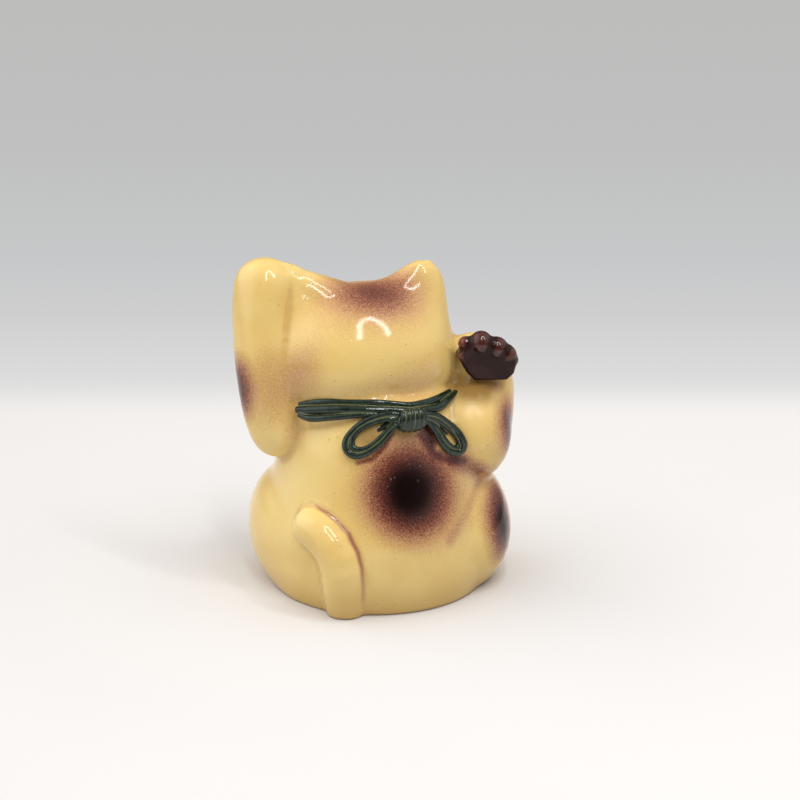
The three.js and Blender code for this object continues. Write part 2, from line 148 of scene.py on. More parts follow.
def copy_of(node):
    """A copy of a CAD node's mesh as a new object, with its corners merged."""
    piece = bpy.data.objects.new(node + "_copy", frame["nodes"][node].data.copy())
    scene.collection.objects.link(piece)
    piece.data.materials.clear()
    only(piece)
    bpy.ops.object.mode_set(mode="EDIT")
    bpy.ops.mesh.select_all(action="SELECT")
    bpy.ops.mesh.remove_doubles(threshold=MERGE_WITHIN)
    bpy.ops.object.mode_set(mode="OBJECT")
    return piece


def added(operator, scale=(1, 1, 1), **settings):
    """Adds a simple form, scales it and applies where it is put."""
    operator(**settings)
    piece = bpy.context.object
    piece.scale = scale
    bpy.ops.object.transform_apply()
    return piece


def joined(name, pieces):
    """Joins pieces into the first one, under a new name."""
    only(*reversed(pieces))
    bpy.ops.object.join()
    pieces[0].name = pieces[0].data.name = name
    return pieces[0]


# %% [markdown]
# Clay that is pressed together and glazed has no sharp joints. A voxel remesh makes one skin of pieces
# that overlap, and smoothing rounds what is left of the joints. CAD pieces have gaps between them, so
# the second helper swells copies of them first. The last one puts a finished piece on the figure and
# hides the CAD nodes that it stands for.

# %% Helpers for skins
def fused(piece, voxel, passes):
    """Remeshes a piece into one skin and smooths it."""
    worked(piece, "REMESH", mode="VOXEL", voxel_size=voxel)
    worked(piece, "SMOOTH", factor=0.5, iterations=passes)
    bpy.ops.object.shade_smooth()
    print(piece.name, "has", len(piece.data.polygons), "faces")
    return piece


def run_together(name, nodes, swell, voxel, passes, fillers=()):
    """Copies of CAD nodes swollen until they meet, made one skin with any fillers and smoothed."""
    copies = [worked(copy_of(node), "DISPLACE", strength=swell, mid_level=0) for node in nodes]
    return fused(joined(name, [*copies, *fillers]), voxel, passes)


def settled(piece, slot, *nodes):
    """The piece rides on the figure and stands for its CAD nodes, which are hidden; slot is not used."""
    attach(piece, "root")
    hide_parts(*nodes)


# %% [markdown]
# A strand of clay is drawn as a Bezier curve through points on the figure. A round bevel gives it body,
# and its radius changes along the way. Converted to a mesh, it can be joined and remeshed like the rest.

# %% Draw a strand
def strand(points, radii):
    """A tube through these points, whose radius runs through these radii; all in millimetres."""
    bpy.ops.curve.primitive_bezier_curve_add()
    curve = bpy.context.object
    line = curve.data.splines[0]
    line.bezier_points.add(len(points) - len(line.bezier_points))
    along = np.linspace(0, len(radii) - 1, len(points))
    for point, bezier, place in zip(points, line.bezier_points, along):
        bezier.co = Vector(point) * MM
        bezier.handle_left_type = bezier.handle_right_type = "AUTO"
        bezier.radius = np.interp(place, range(len(radii)), radii)
    curve.data.bevel_depth = MM
    curve.data.bevel_resolution = 4
    curve.data.use_fill_caps = True
    bpy.ops.object.convert(target="MESH")
    return bpy.context.object


# %% [markdown]
# ## How the surface bends
# Glaze pools in hollows and draws thin over ridges, so both form and colour follow the bend of the
# surface. Geometry's Pointiness would read it only in this renderer. Measured corner by corner and kept
# on the mesh as an attribute, it is part of the model: above 0 in a hollow, below 0 on a ridge.

# %% Measure the bend of a piece
def bend_of(piece, radius, passes):
    """How sharply the surface bends at each corner; 1 is a hollow of this radius, -1 such a ridge."""
    mesh = piece.data
    count = len(mesh.vertices)
    place = np.empty(count * 3, np.float32)
    mesh.vertices.foreach_get("co", place)
    place = place.reshape(-1, 3)
    normal = np.empty(count * 3, np.float32)
    mesh.vertices.foreach_get("normal", normal)
    normal = normal.reshape(-1, 3)
    ends = np.empty(len(mesh.edges) * 2, np.int32)
    mesh.edges.foreach_get("vertices", ends)
    a, b = ends.reshape(-1, 2).T
    along = place[b] - place[a]
    square = (along ** 2).sum(1)
    rise = (along * normal[a]).sum(1) / square
    fall = -(along * normal[b]).sum(1) / square
    edges_at = np.bincount(a, minlength=count) + np.bincount(b, minlength=count)
    bend = (np.bincount(a, rise, count) + np.bincount(b, fall, count)) * 2 * radius / edges_at
    for _ in range(passes):
        around = np.bincount(a, bend[b], count) + np.bincount(b, bend[a], count)
        bend = (bend + around / edges_at) / 2
    return np.clip(bend, -1, 1)


def keep(piece, name, values):
    """Keeps one number for each corner of a piece as an attribute that its finish can read."""
    kept = piece.data.attributes.new(name, "FLOAT", "POINT")
    kept.data.foreach_set("value", np.asarray(values, np.float32))
    print(piece.name, name, "from", round(float(values.min()), 2), "to", round(float(values.max()), 2))


# %% [markdown]
# ## The glazed skin
# The real body, head, arms and tail are luted together with slip and glazed over, so their joints show
# as valleys. Bevelling each joint would be slow and would still look assembled. Run together as one skin
# and shrunk back to size, the pieces keep their round forms and the valleys fill. Under the collar the
# valley is too deep for that, so two rings of slip are laid in it first.

# %% Slip for the neck
NECK_MIDDLE = (2, 0.6)
NECK_RADIUS = 15 * MM
NECK_STRETCH = (1.15, 0.87, 1)
NECK_SLOPE = math.radians(10)
NECK_RINGS = [
    # height and thickness in millimetres
    (39.9, 1.8), (37.5, 2.2),
]
fillers = [
    added(
        bpy.ops.mesh.primitive_torus_add, NECK_STRETCH,
        major_radius=NECK_RADIUS, minor_radius=thickness * MM, major_segments=96, minor_segments=20,
        location=Vector((*NECK_MIDDLE, height)) * MM, rotation=(NECK_SLOPE, 0, 0),
    )
    for height, thickness in NECK_RINGS
]
print("Rings of slip:", len(NECK_RINGS))

# %% [markdown]
# Behind the neck lie three strands of the collar. Each is pressed into a bed of slip, so that it doesn't
# stand off the neck. The bed is a thicker strand along the same points, drawn in towards the middle.

# %% Beds for the collar
UPPER = [
    (18.5, 7.8, 42.5), (16.8, 9.0, 43.1), (13.2, 11.2, 43.7), (9.9, 12.6, 43.7), (6.5, 13.8, 43.8),
    (2.8, 14.8, 43.8), (-0.5, 15.3, 43.4), (-3.5, 15.3, 43.0), (-6.0, 14.7, 43.0), (-9.0, 13.2, 43.1),
    (-11.8, 10.8, 43.3), (-13.9, 8.5, 43.4),
]
MIDDLE = [
    (19.1, 8.0, 41.5), (17.9, 9.1, 41.7), (16.6, 10.3, 41.9), (11.8, 13.1, 42.5), (7.8, 14.6, 42.6),
    (4.2, 15.6, 42.5), (0.1, 16.3, 42.3), (-3.7, 16.2, 41.9), (-6.7, 15.4, 41.7), (-9.9, 13.8, 41.5),
    (-12.4, 11.5, 42.1), (-14.5, 8.8, 42.5), (-15.5, 7.6, 42.8),
]
LOWER = [
    (18.9, 9.0, 40.7), (18.1, 9.9, 40.5), (16.8, 11.3, 40.4), (13.7, 13.3, 40.9), (10.0, 14.8, 41.4),
    (6.9, 15.6, 41.7), (3.6, 16.3, 41.8),
]
BED_DEPTH = 1.5
BEDS = [(UPPER, 1.55), (MIDDLE, 1.9), (LOWER, 1.9)]
for line, width in BEDS:
    bed = []
    for point in map(Vector, line):
        outward = (point.to_2d() - Vector(NECK_MIDDLE)).normalized()
        bed.append(point - outward.to_3d() * BED_DEPTH)
    fillers.append(strand(bed, [0.8 * width, width, width, 0.8 * width]))
print("Beds of slip:", len(BEDS))

# %% [markdown]
# The ears of the real cat are broad cones that lean out of the skull. So a cone is pressed onto each
# ear: its straight side draws a long highlight.

# %% Cones for the ears
SKULL_MIDDLE = Vector((2.8, -4.1, 50.5)) * MM
EAR_CONES = [
    # tip, half angle in degrees, and how blunt the tip is
    ((18.9, -3.9, 70.2), 31, 1.6),
    ((-11.4, -3.9, 69.1), 28, 0.9),
]
EAR_DEPTH = 15 * MM
for tip, half_angle, blunt in EAR_CONES:
    tip, blunt = Vector(tip) * MM, blunt * MM
    axis = (tip - SKULL_MIDDLE).normalized()
    broad = blunt + EAR_DEPTH * math.tan(math.radians(half_angle))
    fillers.append(added(
        bpy.ops.mesh.primitive_cone_add,
        vertices=64, radius1=broad, radius2=blunt, depth=EAR_DEPTH,
        location=tip - axis * (EAR_DEPTH / 2 + blunt),
        rotation=axis.to_track_quat("Z", "Y").to_euler(),
    ))
print("Fillers under the glaze:", len(fillers))

# %% [markdown]
# The clay pieces and the fillers now become one skin, which is then shrunk by as much as the pieces were
# swollen. A finer voxel would keep more of the CAD facets.

# %% Run the cream pieces together
CREAM_NODES = ["body_shell", "head", "raised_arm", "holding_arm", "tail"]
SWELL = 0.6 * MM
SKIN_VOXEL = 0.36 * MM
FIRST_PASSES = 5
skin = run_together("glazed_cat", CREAM_NODES, SWELL, SKIN_VOXEL, FIRST_PASSES, fillers)
worked(skin, "DISPLACE", strength=-SWELL, mid_level=0)

# %% [markdown]
# The CAD facets still show in a gloss. More smoothing takes them out, but it would wash the valleys out
# too. So the corners get a weight: low in a valley, where the bend is strong, and full elsewhere. The
# Smooth modifier reads it as a vertex group.

# %% Smooth all but the valleys
VALLEY = 3 * MM
HOLD_FROM, HOLD_FULL = 0.35, 1.0
LEAST_FREE = 0.3
SKIN_PASSES = 44
bend = bend_of(skin, VALLEY, 3)
free = np.clip((HOLD_FULL - bend) / (HOLD_FULL - HOLD_FROM), LEAST_FREE, 1)
group = skin.vertex_groups.new(name="free")
for tenth in range(1, 11):
    corners = np.flatnonzero(np.round(free * 10) == tenth)
    group.add(corners.tolist(), tenth / 10, "REPLACE")
worked(skin, "SMOOTH", factor=0.5, iterations=SKIN_PASSES, vertex_group="free")
skin.vertex_groups.clear()
print("Corners held in valleys:", int((free < 0.5).sum()), "of", len(free))

# %% [markdown]
# The smoothing also rounded the foot a little, as wiping the glaze off it does. What is left of the rim
# is pressed flat on the floor: its corners are selected by their height and scaled to nothing in Z.
# The selection is let go afterwards, because copies of the skin would take it over.

# %% Press the foot flat
FOOT_RIM = 0.25 * MM
only(skin)
lowest = min(v.co.z for v in skin.data.vertices)
for v in skin.data.vertices:
    v.co.z -= lowest
    v.select = v.co.z < FOOT_RIM
bpy.ops.object.mode_set(mode="EDIT")
bpy.ops.mesh.select_mode(type="VERT")
bpy.ops.transform.resize(value=(1, 1, 0), center_override=(0, 0, 0))
bpy.ops.mesh.select_all(action="DESELECT")
bpy.ops.object.mode_set(mode="OBJECT")
flat = sum(v.co.z == 0 for v in skin.data.vertices)
print("Foot moved by", round(-lowest / MM, 3), "mm; flat corners:", flat)

# %% [markdown]
# ## One piece again for each part
# The figure is still an assembly, so the skin is parted where its pieces meet. Each corner measures how
# far it is from each CAD piece; where two are equally near is the joint. That distance is kept, because
# slip, colour and painted shade gather along joints.

# %% Measure the joints
def nearness(node):
    """The distance in millimetres from each corner of the skin to a CAD node."""
    mesh = frame["nodes"][node].data
    tree = BVHTree.FromPolygons([v.co for v in mesh.vertices], [p.vertices for p in mesh.polygons])
    return np.array([tree.find_nearest(v.co)[3] for v in skin.data.vertices]) / MM


gaps = np.array([nearness(node) for node in CREAM_NODES])
first, second = np.sort(gaps, axis=0)[:2]
keep(skin, "bend", bend_of(skin, VALLEY, 5))
keep(skin, "joint", second - first)
keep(skin, "tail_side", gaps[CREAM_NODES.index("tail")] - gaps[0])

# %% [markdown]
# Each part takes the faces nearest to its CAD node. Cutting leaves an open edge. It is extruded and
# drawn in under the surface before it is filled, so that no filling face can show in a valley. A cut
# edge would also shade as a fold, so every corner keeps the normal that it had on the whole skin, and
# the glaze still runs over the joint without a line.

# %% Part the skin
WALL_DEPTH = 1.2 * MM


def part_of_skin(name, owned):
    """A closed piece made of these faces of the skin, shaded as the whole skin is."""
    piece = bpy.data.objects.new(name, skin.data.copy())
    piece.data.name = name
    scene.collection.objects.link(piece)
    piece.data.polygons.foreach_set("select", ~owned)
    only(piece)
    bpy.ops.object.mode_set(mode="EDIT")
    bpy.ops.mesh.select_mode(type="FACE")
    bpy.ops.mesh.delete(type="FACE")
    bpy.ops.mesh.select_mode(type="EDGE")
    bpy.ops.mesh.select_non_manifold()
    bpy.ops.mesh.extrude_edges_indiv()
    bpy.ops.object.mode_set(mode="OBJECT")
    shaded = piece.data.attributes["skin_normal"]
    normals = [value.vector.copy() for value in shaded.data]
    for corner, normal in zip(piece.data.vertices, normals):
        if corner.select:
            corner.co -= normal * WALL_DEPTH
    piece.data.attributes.remove(shaded)
    bpy.ops.object.mode_set(mode="EDIT")
    bpy.ops.mesh.fill_holes(sides=0)
    bpy.ops.mesh.quads_convert_to_tris()
    bpy.ops.object.mode_set(mode="OBJECT")
    bpy.ops.object.shade_smooth()
    piece.data.normals_split_custom_set_from_vertices(normals)
    print(name, "has", len(piece.data.polygons), "faces")
    return piece


whole_normals = np.empty(len(skin.data.vertices) * 3, np.float32)
skin.data.vertices.foreach_get("normal", whole_normals)
shading = skin.data.attributes.new("skin_normal", "FLOAT_VECTOR", "POINT")
shading.data.foreach_set("vector", whole_normals)
face_gaps = np.array([gaps[:, list(p.vertices)].mean(axis=1) for p in skin.data.polygons])
owner = face_gaps.argmin(axis=1)
cream_pieces = {
    node: part_of_skin(node.replace("_shell", "") + "_glazed", owner == i)
    for i, node in enumerate(CREAM_NODES)
}
bpy.data.objects.remove(skin)

# %% [markdown]
# ## Cord collar and bow
# The cord on the real figure is modelled in clay, and it is less even than rope: strands swell, thin
# out and lean on one another. So each strand behind the neck is drawn one by one. One remesh presses the
# strands of a piece together, and so little smoothing leaves the valleys between them. The upper two
# strands go on behind the knot and rise to a tip on the right; the lowest ends under the left loop.

# %% The collar behind the neck
CORD_VOXEL = 0.11 * MM
CORD_PASSES = 4
back_strands = [
    strand(UPPER, [0.55, 0.8, 0.74, 0.72, 0.78, 0.5]),
    strand(MIDDLE, [0.75, 1.0, 0.9, 0.8, 1.0, 0.55]),
    strand(LOWER, [0.5, 0.75, 0.62, 0.5]),
]
collar_back = fused(joined("collar_behind", back_strands), CORD_VOXEL, CORD_PASSES)

# %% [markdown]
# Each loop of the bow is two strands side by side. They rise off the back where they go into the knot,
# and a short strand lies low in the corner between them, which glaze filled.

# %% The loops of the bow
LEFT_OUTER = [
    (-1.0, 18.2, 41.8), (0.8, 17.6, 42.1), (4.3, 16.9, 41.4), (6.8, 16.5, 40.3), (9.2, 16.5, 38.5),
    (10.5, 16.7, 36.7), (10.7, 17.3, 35.4), (10.1, 17.9, 34.4), (8.9, 18.7, 34.0), (7.5, 19.1, 34.3),
    (5.6, 19.4, 35.3), (3.1, 19.2, 37.2), (1.5, 18.9, 38.8), (-0.5, 18.6, 40.1),
]
LEFT_INNER = [
    (-0.8, 18.2, 41.3), (1.9, 17.9, 41.1), (4.5, 17.4, 40.5), (6.9, 17.0, 39.5), (8.5, 16.9, 38.3),
    (9.3, 17.2, 36.9), (9.3, 17.8, 35.7), (8.4, 18.4, 35.2), (7.2, 18.8, 35.3), (5.4, 19.0, 36.2),
    (3.5, 18.9, 37.8), (1.6, 18.5, 39.4), (-0.6, 18.3, 40.6),
]
RIGHT_OUTER = [
    (-5.7, 17.3, 41.5), (-9.1, 16.0, 40.5), (-11.5, 15.4, 38.7), (-13.6, 15.5, 36.7), (-14.7, 16.0, 34.8),
    (-15.0, 16.1, 33.4), (-14.4, 15.9, 32.2), (-12.9, 16.6, 32.2), (-11.3, 17.4, 33.1), (-9.8, 17.7, 34.8),
    (-8.6, 17.4, 37.2), (-7.2, 17.3, 39.2), (-5.7, 17.5, 40.5),
]
RIGHT_INNER = [
    (-5.9, 17.5, 40.9), (-8.3, 16.7, 40.0), (-10.7, 16.1, 38.2), (-12.8, 15.4, 36.2), (-13.9, 15.6, 34.5),
    (-14.0, 15.7, 33.6), (-13.1, 16.1, 33.1), (-11.8, 16.7, 33.9), (-10.7, 17.0, 35.3), (-9.6, 16.9, 37.1),
    (-7.9, 17.1, 39.1), (-6.1, 17.6, 40.2),
]
LEFT_CORNER = [(0.2, 17.4, 40.5), (1.2, 17.3, 40.0), (2.4, 17.4, 39.5), (4.0, 17.5, 38.7)]
RIGHT_CORNER = [(-8.0, 16.5, 39.3), (-9.6, 16.0, 38.4), (-10.6, 15.7, 37.4), (-11.4, 15.8, 36.2)]
left_strands = [
    strand(LEFT_OUTER, [0.6, 0.72, 0.74, 0.74, 0.66, 0.5]),
    strand(LEFT_INNER, [0.5, 0.6, 0.7, 0.64, 0.45]),
    strand(LEFT_CORNER, [0.8, 0.75, 0.3]),
]
left_loop = fused(joined("bow_left_loop_glazed", left_strands), CORD_VOXEL, CORD_PASSES)
right_strands = [
    strand(RIGHT_OUTER, [0.6, 0.7, 0.76, 0.74, 0.64, 0.5]),
    strand(RIGHT_INNER, [0.5, 0.56, 0.6, 0.58, 0.45]),
    strand(RIGHT_CORNER, [0.6, 0.6, 0.3]),
]
right_loop = fused(joined("bow_right_loop_glazed", right_strands), CORD_VOXEL, CORD_PASSES)

# %% [markdown]
# Round the front of the neck the three ridges run side by side. The CAD strands have a gap between
# them, so copies are swollen until they touch and run together. On one side they end short of the
# raised arm, so a strand carries each of them on into it.

# %% The collar in front
ROWS = ("lower", "middle", "upper")
FRONT_ENDS = [
    [(17.2, -11, 36.4), (18.1, -9.5, 36.6), (19.1, -7.5, 37.0), (19.9, -5.6, 37.3), (20.4, -3.4, 37.6)],
    [(16.9, -11, 38.0), (18.2, -9.5, 38.2), (19.5, -7.5, 38.6), (20.2, -5.6, 38.9), (20.6, -3.2, 39.2)],
    [(19.2, -11, 39.6), (20.4, -9.5, 39.9), (21.5, -7.2, 40.2), (22.1, -5.2, 40.5), (22.4, -3.2, 40.8)],
]
FRONT_SWELL = 0.3 * MM
FRONT_VOXEL = 0.13 * MM
FRONT_PASSES = 5
front_nodes = [f"collar_front_{row}" for row in ROWS]
collar_front = run_together(
    "collar_in_front", front_nodes, FRONT_SWELL, FRONT_VOXEL, FRONT_PASSES,
    [strand(line, [0.7, 1.0, 1.0]) for line in FRONT_ENDS],
)

# %% [markdown]
# The knot is a cord wound six times round the crossing. One turn is a ring, added as a torus and
# pressed to an oval; the turns get smaller towards the ends and lean as a hand winds them. A plump core
# fills them, and a remesh makes them one.

# %% Wind the knot
WRAP_CORD = 0.64 * MM
KNOT_VOXEL = 0.12 * MM
KNOT_FLATNESS = 0.72
WRAPS = [
    # place along the knot in millimetres, lean in degrees, and size
    (-2.3, 13, 0.76), (-1.5, 8, 0.92), (-0.55, 5, 1.0), (0.55, 9, 1.0), (1.4, 12, 0.93), (2.25, 7, 0.74),
]
BOW_TURN = math.radians(8)
low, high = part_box("bow_knot")
KNOT_SHIFT = Vector((-0.6, 0, -0.1)) * MM
knot_centre = (low + high) / 2 + KNOT_SHIFT
knot_half_height = (high.z - low.z) / 2 - WRAP_CORD
wraps = []
for place, lean, fullness in WRAPS:
    bpy.ops.mesh.primitive_torus_add(
        major_radius=knot_half_height * fullness, minor_radius=WRAP_CORD,
        major_segments=48, minor_segments=14,
        location=(0, 0, 0), rotation=(0, math.pi / 2, 0),
    )
    bpy.ops.object.transform_apply(location=False, rotation=True, scale=False)
    bpy.ops.object.mode_set(mode="EDIT")
    bpy.ops.transform.resize(value=(1, KNOT_FLATNESS, 1), center_override=(0, 0, 0))
    bpy.ops.transform.rotate(value=math.radians(lean), orient_axis="Y", center_override=(0, 0, 0))
    bpy.ops.transform.translate(value=(place * MM, 0, 0))
    bpy.ops.transform.rotate(value=-BOW_TURN, orient_axis="Z", center_override=(0, 0, 0))
    bpy.ops.transform.translate(value=knot_centre)
    bpy.ops.object.mode_set(mode="OBJECT")
    bpy.ops.object.transform_apply()
    wraps.append(bpy.context.object)
core = added(
    bpy.ops.mesh.primitive_uv_sphere_add, (1.3, KNOT_FLATNESS, 0.98),
    radius=knot_half_height, location=knot_centre, rotation=(0, 0, BOW_TURN),
)
knot = fused(joined("bow_knot_wound", wraps + [core]), KNOT_VOXEL, CORD_PASSES)

# %% [markdown]
# ## Charm and bell
# The charm is a nugget with a flat face and knobs over its upper edge. Its CAD solid has the form, and
# swelling and smoothing a fine remesh of it runs the knobs together as a thick glaze does. Smoothing
# eats the knobs, so a ball is added to the three largest first.

# %% Soften the charm
CHARM_SWELL = 0.85 * MM
CHARM_SHRINK = 0.6 * CHARM_SWELL
CHARM_VOXEL = 0.17 * MM
CHARM_PASSES = 24
CHARM_KNOBS = [
    # centre and radius in millimetres
    ((-21.2, 6.9, 52.9), 3.2), ((-24.5, 7.5, 51.7), 3.1), ((-26.6, 7.9, 50.2), 2.8),
]
balls = [
    added(bpy.ops.mesh.primitive_uv_sphere_add, radius=radius * MM, location=Vector(centre) * MM)
    for centre, radius in CHARM_KNOBS
]
charm = run_together("charm_glazed", ["held_charm"], CHARM_SWELL, CHARM_VOXEL, CHARM_PASSES, balls)
worked(charm, "DISPLACE", strength=-CHARM_SHRINK, mid_level=0)
worked(charm, "SMOOTH", factor=0.5, iterations=CHARM_PASSES)

# %% [markdown]
# The bell is turned from a ball: a ring makes the band round it, and a box cuts the slot below with a
# boolean. Smoothing rounds the cut, as glaze would.

# %% Shape the bell
BELL_RADIUS = 3.2 * MM
BELL_BAND = 0.45 * MM
BELL_SLOT = 0.8 * MM
BELL_ROUGH, BELL_FINE = 0.13 * MM, 0.12 * MM
BELL_PASSES = 5
bell_low, bell_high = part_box("bell")
bell_centre = (bell_low + bell_high) / 2
bell_centre.y = bell_low.y + BELL_RADIUS + BELL_BAND
ball = added(
    bpy.ops.mesh.primitive_uv_sphere_add,
    segments=64, ring_count=32, radius=BELL_RADIUS, location=bell_centre,
)
band = added(
    bpy.ops.mesh.primitive_torus_add,
    major_radius=BELL_RADIUS, minor_radius=BELL_BAND,
    major_segments=64, minor_segments=16, location=bell_centre,
)
bell = joined("bell_glazed", [ball, band])
worked(bell, "REMESH", mode="VOXEL", voxel_size=BELL_ROUGH)
slot_cut = added(
    bpy.ops.mesh.primitive_cube_add, (BELL_SLOT, 1.9 * BELL_RADIUS, 1.2 * BELL_RADIUS),
    size=1, location=bell_centre + Vector((0, -0.3, -1)) * BELL_RADIUS,
)
worked(bell, "BOOLEAN", operation="DIFFERENCE", object=slot_cut, solver="EXACT")
bpy.data.objects.remove(slot_cut)
fused(bell, BELL_FINE, BELL_PASSES)

# %% [markdown]
# The finishes of the small pieces read their bend too. It is measured against a smaller radius: about
# that of a strand for the cord, and a little more for the charm and the bell.

# %% Keep the bend of the small pieces
CORD_BEND = 0.6 * MM
CHARM_BEND = BELL_BEND = 1 * MM
for piece in [collar_back, collar_front, knot, left_loop, right_loop]:
    keep(piece, "bend", bend_of(piece, CORD_BEND, 1))
keep(charm, "bend", bend_of(charm, CHARM_BEND, 10))
keep(bell, "bend", bend_of(bell, BELL_BEND, 2))

# %% [markdown]
# ## Writing a finish
# A node tree is tedious to spell out. Two small classes let a finish be written as sums: arithmetic on a
# Reading adds Math nodes, whether the reading stands before or after the sign. Every other node comes
# from Finish.node, which takes the node's type, its settings and its sockets.

# %% Sums of readings
class Reading:
    """A socket of a finish; sums on it add Math nodes."""

    def __init__(self, finish, socket):
        self.finish, self.socket = finish, socket


SIGNS = [("add", "ADD"), ("sub", "SUBTRACT"), ("mul", "MULTIPLY"), ("truediv", "DIVIDE")]
for sign, operation in SIGNS:
    def before(self, other, operation=operation):
        return self.finish.sum(operation, self, other)

    def after(self, other, operation=operation):
        return self.finish.sum(operation, other, self)

    setattr(Reading, f"__{sign}__", before)
    setattr(Reading, f"__r{sign}__", after)
print("Signs for readings:", len(SIGNS))

# %% [markdown]
# Finish holds one node tree. Its methods are the patterns that the finishes share: a soft step, a mix
# of colours, a ramp, distances to ovals and lines, cloudy noise, dots and, last, the glaze itself.

# %% Nodes of a finish
class Finish:
    """The node tree of a material or world."""

    def __init__(self, block):
        self.block = block
        block.use_nodes = True
        self.tree = block.node_tree
        self.tree.nodes.clear()

    def node(self, kind, settings, sockets, output=0):
        """Any node: its type, settings, values or links of its sockets, and the output to read."""
        made = self.tree.nodes.new(kind)
        for name, value in settings.items():
            setattr(made, name, value)
        for name, value in sockets.items():
            if isinstance(value, Reading):
                self.tree.links.new(value.socket, made.inputs[name])
            else:
                made.inputs[name].default_value = value
        return Reading(self, made.outputs[output]) if made.outputs else None

    @cached_property
    def place(self):
        """Object coordinates in millimetres."""
        metres = self.node("ShaderNodeTexCoord", {}, {}, "Object")
        return self.node("ShaderNodeMapping", {}, {"Vector": metres, "Scale": (1 / MM, 1 / MM, 1 / MM)})

    def sum(self, operation, *values):
        """A Math node on these values."""
        return self.node("ShaderNodeMath", {"operation": operation}, dict(enumerate(values)))

    def vector(self, operation, *values, output=0):
        """A Vector Math node on these values."""
        sockets = dict(enumerate(values))
        return self.node("ShaderNodeVectorMath", {"operation": operation}, sockets, output)

    def split(self, vector):
        """The three numbers of a vector."""
        outputs = self.node("ShaderNodeSeparateXYZ", {}, {0: vector}).socket.node.outputs
        return [Reading(self, output) for output in outputs]

    def attribute(self, name):
        """A number that was kept on the mesh."""
        return self.node("ShaderNodeAttribute", {"attribute_name": name}, {}, "Fac")

    def step(self, value, start, end):
        """0 at start, 1 at end, and a soft slope between."""
        sockets = {"Value": value, "From Min": start, "From Max": end}
        return self.node("ShaderNodeMapRange", {"interpolation_type": "SMOOTHSTEP"}, sockets)

    def mix(self, share, first, second):
        """From the first colour at 0 to the second at 1."""
        return self.node("ShaderNodeMix", {"data_type": "RGBA"}, {0: share, 6: first, 7: second}, 2)

    def ramp(self, share, stops):
        """A colour ramp through stops of a position and a colour."""
        made = self.node("ShaderNodeValToRGB", {}, {0: share})
        elements = made.socket.node.color_ramp.elements
        while len(elements) < len(stops):
            elements.new(0.5)
        for element, (position, tint) in zip(elements, stops):
            element.position, element.color = position, tint
        return made

    def reach(self, centre, half_sizes):
        """How far out of an oval region a place is: 0 at its centre, 1 at its edge."""
        away = self.vector("DIVIDE", self.vector("SUBTRACT", self.place, centre), half_sizes)
        return self.vector("LENGTH", away, output="Value")

    def from_line(self, start, end):
        """The distance in millimetres from a place to the line between two points."""
        whole = Vector(end) - Vector(start)
        from_start = self.vector("SUBTRACT", self.place, start)
        per_length = tuple(whole / whole.length_squared)
        share = self.vector("DOT_PRODUCT", from_start, per_length, output="Value")
        share = self.sum("MINIMUM", self.sum("MAXIMUM", share, 0), 1)
        sockets = {0: tuple(whole), "Scale": share}
        along = self.node("ShaderNodeVectorMath", {"operation": "SCALE"}, sockets)
        return self.vector("LENGTH", self.vector("SUBTRACT", from_start, along), output="Value")

    def noise(self, size, detail=2, roughness=0.5):
        """Cloudy noise from 0 to 1 whose lumps are about this many millimetres across."""
        sockets = {"Vector": self.place, "Scale": 1 / size, "Detail": detail, "Roughness": roughness}
        return self.node("ShaderNodeTexNoise", {}, sockets)

    def dots(self, spacing, radius, share):
        """Round dots: 1 in the middle of a dot, 0 outside it; only a share of the places has one."""
        sockets = {"Vector": self.place, "Scale": 1 / spacing}
        away = self.node("ShaderNodeTexVoronoi", {}, sockets)
        lot = self.node("ShaderNodeTexVoronoi", {}, sockets, "Color")
        drawn = self.split(lot)[0]
        dot = self.step(away, radius / spacing, 0.3 * radius / spacing)
        return dot * self.sum("LESS_THAN", drawn, share)

    def glaze(self, tint, roughness, height, ior=1.54, coat=0.0, metal=0.0):
        """The shader: colour under a clear gloss, with a height in millimetres as bump."""
        bump = self.node("ShaderNodeBump", {}, {"Height": height, "Strength": 1.0, "Distance": MM})
        shader = self.node("ShaderNodeBsdfPrincipled", {}, {
            "Base Color": tint, "Roughness": roughness, "Normal": bump,
            "IOR": ior, "Coat Weight": coat, "Metallic": metal,
        })
        self.node("ShaderNodeOutputMaterial", {}, {"Surface": shader})
        return self.block


def colour(red, green, blue):
    """A colour as a screen shows it, 0 to 255, as Blender's linear light."""
    def linear(value):
        share = value / 255
        return share / 12.92 if share <= 0.04045 else ((share + 0.055) / 1.055) ** 2.4
    return linear(red), linear(green), linear(blue), 1
